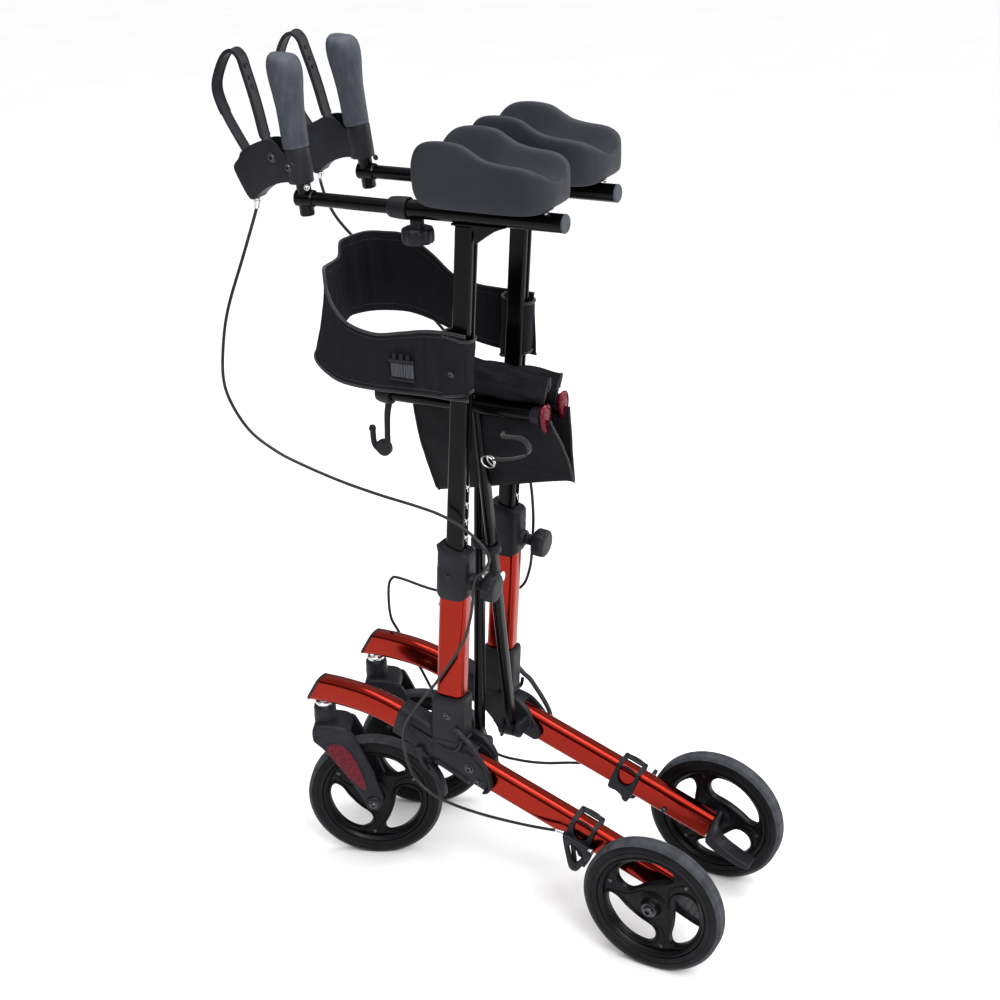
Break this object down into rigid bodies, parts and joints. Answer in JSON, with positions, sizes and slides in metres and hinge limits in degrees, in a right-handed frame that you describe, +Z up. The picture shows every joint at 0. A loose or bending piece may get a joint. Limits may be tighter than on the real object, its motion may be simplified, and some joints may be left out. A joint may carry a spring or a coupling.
{
  "type": "upright forearm walker",
  "caption": "Folded upright walker with forearm troughs, upright grips and loop brakes, a cross brace with a fabric seat, a backrest band and caster wheels.",
  "frame": {"origin": "on the floor, in the middle of the folded walker outline", "axes": "+X to the left of the person who walks with it, -Y the walking direction, +Z up"},
  "size_m": [0.2824, 0.7146, 1.1954],
  "materials": {
    "red_paint": "metallic candy gloss",
    "black_tube": "semi-gloss",
    "charcoal_plastic": "fine texture",
    "pad_foam": "soft moulded foam",
    "grip_foam": "soft moulded foam",
    "tyre": "matt",
    "wheel_plastic": "satin",
    "steel": "bright",
    "webbing": "woven",
    "cable_jacket": "satin",
    "reflector": "prismatic"
  },
  "bodies": {
    "left_frame": {"base_tube_left": "red_paint", "base_plug_left": "charcoal_plastic", "kerb_pedal_left": "charcoal_plastic", "hinge_housing_left": "charcoal_plastic", "lower_post_left": "red_paint", "height_sleeve_left": "charcoal_plastic", "rear_axle_left": "steel", "brake_bracket_left": "charcoal_plastic"},
    "left_post": {"upper_post_left": "black_tube", "forearm_rail_left": "black_tube", "rail_collar_left": "charcoal_plastic", "forearm_pad_left": "pad_foam", "brake_cable_left": "cable_jacket", "backrest_band": "webbing"},
    "left_handle": {"handle_tube_left": "black_tube", "hand_grip_left": "grip_foam", "lever_bracket_left": "charcoal_plastic"},
    "left_height_knob": {"height_knob_left": "charcoal_plastic"},
    "left_rail_knob": {"rail_knob_left": "charcoal_plastic"},
    "left_brake_lever": {"brake_lever_left": "charcoal_plastic"},
    "left_brake_arm": {"brake_arm_left": "charcoal_plastic"},
    "left_caster": {"caster_fork_left": "charcoal_plastic", "fork_reflector_left": "reflector"},
    "left_front_wheel": {"front_wheel_left_tyre": "tyre", "front_wheel_left_rim": "wheel_plastic"},
    "left_rear_wheel": {"rear_wheel_left_tyre": "tyre", "rear_wheel_left_rim": "wheel_plastic"},
    "right_frame": {"base_tube_right": "red_paint", "base_plug_right": "charcoal_plastic", "kerb_pedal_right": "charcoal_plastic", "hinge_housing_right": "charcoal_plastic", "lower_post_right": "red_paint", "height_sleeve_right": "charcoal_plastic", "rear_axle_right": "steel", "brake_bracket_right": "charcoal_plastic"},
    "right_post": {"upper_post_right": "black_tube", "forearm_rail_right": "black_tube", "rail_collar_right": "charcoal_plastic", "forearm_pad_right": "pad_foam", "brake_cable_right": "cable_jacket"},
    "right_handle": {"handle_tube_right": "black_tube", "hand_grip_right": "grip_foam", "lever_bracket_right": "charcoal_plastic"},
    "right_height_knob": {"height_knob_right": "charcoal_plastic"},
    "right_rail_knob": {"rail_knob_right": "charcoal_plastic"},
    "right_brake_lever": {"brake_lever_right": "charcoal_plastic"},
    "right_brake_arm": {"brake_arm_right": "charcoal_plastic"},
    "right_caster": {"caster_fork_right": "charcoal_plastic", "fork_reflector_right": "reflector"},
    "right_front_wheel": {"front_wheel_right_tyre": "tyre", "front_wheel_right_rim": "wheel_plastic"},
    "right_rear_wheel": {"rear_wheel_right_tyre": "tyre", "rear_wheel_right_rim": "wheel_plastic"},
    "brace_a": {"brace_a": "black_tube", "cross_bolt": "steel", "seat_reflector_right": "reflector", "seat_fabric": "webbing"},
    "brace_b": {"brace_b": "black_tube", "seat_reflector_left": "reflector", "cane_hook": "charcoal_plastic"}
  },
  "joints": [
    {"name": "height", "type": "slide", "parent": "left_frame", "child": "left_post", "axis": [0, 0.0916, 0.9958], "range_m": [-0.05, 0.1]},
    {"name": "fold", "type": "slide", "parent": "left_post", "child": "right_post", "axis": [-1, 0, 0], "range_m": [0, 0.3], "deforming": ["backrest_band"]},
    {"name": "right_height", "type": "slide", "parent": "right_post", "child": "right_frame", "axis": [0, 0.0916, 0.9958], "range_m": [-0.1, 0.05]},
    {"name": "brace_a_pivot", "type": "hinge", "parent": "left_frame", "child": "brace_a", "pos_m": [0.026, -0.049, 0.225], "axis": [0, -1, 0], "range_deg": [0, 37.5], "deforming": ["seat_fabric"]},
    {"name": "brace_cross", "type": "hinge", "parent": "brace_a", "child": "brace_b", "pos_m": [0, -0.025, 0.4835], "axis": [0, 1, 0], "range_deg": [0, 75]},
    {"name": "left_height_knob_turn", "type": "hinge", "parent": "left_frame", "child": "left_height_knob", "pos_m": [0.0735, -0.01384, 0.50925], "axis": [0, 0.9958, -0.0916], "range_deg": [0, 360]},
    {"name": "left_rail_knob_turn", "type": "hinge", "parent": "left_post", "child": "left_rail_knob", "pos_m": [0.0735, -0.069, 1.0125], "axis": [0, 0, 1], "range_deg": [0, 360]},
    {"name": "left_reach", "type": "slide", "parent": "left_post", "child": "left_handle", "axis": [0, -1, 0], "range_m": [-0.06, 0.05], "deforming": ["brake_cable_left"]},
    {"name": "left_lever_squeeze", "type": "hinge", "parent": "left_handle", "child": "left_brake_lever", "pos_m": [0.0735, -0.2685, 1.0645], "axis": [-1, 0, 0], "range_deg": [0, 12], "stiffness_Nm_per_rad": 1.2, "springref_deg": -2.86},
    {"name": "left_brake_press", "type": "hinge", "parent": "left_frame", "child": "left_brake_arm", "pos_m": [0.096, 0.131, 0.112], "axis": [-1, 0, 0], "range_deg": [0, 4.5]},
    {"name": "left_caster_swivel", "type": "hinge", "parent": "left_frame", "child": "left_caster", "pos_m": [0.0715, -0.2805, 0.25], "axis": [0, 0, 1], "range_deg": [-225, 30]},
    {"name": "left_front_wheel_spin", "type": "hinge", "parent": "left_caster", "child": "left_front_wheel", "pos_m": [0.04496, -0.22171, 0.1], "axis": [0.9114, 0.4115, 0], "continuous": true},
    {"name": "left_rear_wheel_spin", "type": "hinge", "parent": "left_frame", "child": "left_rear_wheel", "pos_m": [0.1135, 0.2575, 0.1], "axis": [1, 0, 0], "continuous": true},
    {"name": "right_height_knob_turn", "type": "hinge", "parent": "right_frame", "child": "right_height_knob", "pos_m": [-0.0735, -0.01384, 0.50925], "axis": [0, 0.9958, -0.0916], "range_deg": [0, 360]},
    {"name": "right_rail_knob_turn", "type": "hinge", "parent": "right_post", "child": "right_rail_knob", "pos_m": [-0.0735, -0.069, 1.0125], "axis": [0, 0, 1], "range_deg": [0, 360]},
    {"name": "right_reach", "type": "slide", "parent": "right_post", "child": "right_handle", "axis": [0, -1, 0], "range_m": [-0.06, 0.05], "deforming": ["brake_cable_right"]},
    {"name": "right_lever_squeeze", "type": "hinge", "parent": "right_handle", "child": "right_brake_lever", "pos_m": [-0.06942, -0.2685, 1.06434], "axis": [-0.9969, 0, 0.0785], "range_deg": [0, 12], "stiffness_Nm_per_rad": 1.2, "springref_deg": -2.86},
    {"name": "right_brake_press", "type": "hinge", "parent": "right_frame", "child": "right_brake_arm", "pos_m": [-0.096, 0.131, 0.112], "axis": [-1, 0, 0], "range_deg": [0, 4.5]},
    {"name": "right_caster_swivel", "type": "hinge", "parent": "right_frame", "child": "right_caster", "pos_m": [-0.0715, -0.2805, 0.25], "axis": [0, 0, 1], "range_deg": [-45, 225]},
    {"name": "right_front_wheel_spin", "type": "hinge", "parent": "right_caster", "child": "right_front_wheel", "pos_m": [-0.09804, -0.22171, 0.1], "axis": [0.9114, 0.4115, 0], "continuous": true},
    {"name": "right_rear_wheel_spin", "type": "hinge", "parent": "right_frame", "child": "right_rear_wheel", "pos_m": [-0.1135, 0.2575, 0.1], "axis": [1, 0, 0], "continuous": true}
  ],
  "couplings": [
    {"joint": "right_height", "follows": "height", "ratio": -1},
    {"joint": "brace_a_pivot", "follows": "fold", "rad_per_m": 2.1467},
    {"joint": "brace_cross", "follows": "fold", "rad_per_m": 4.2934},
    {"joint": "left_brake_press", "follows": "left_lever_squeeze", "ratio": 0.35},
    {"joint": "right_brake_press", "follows": "right_lever_squeeze", "ratio": 0.35}
  ]
}
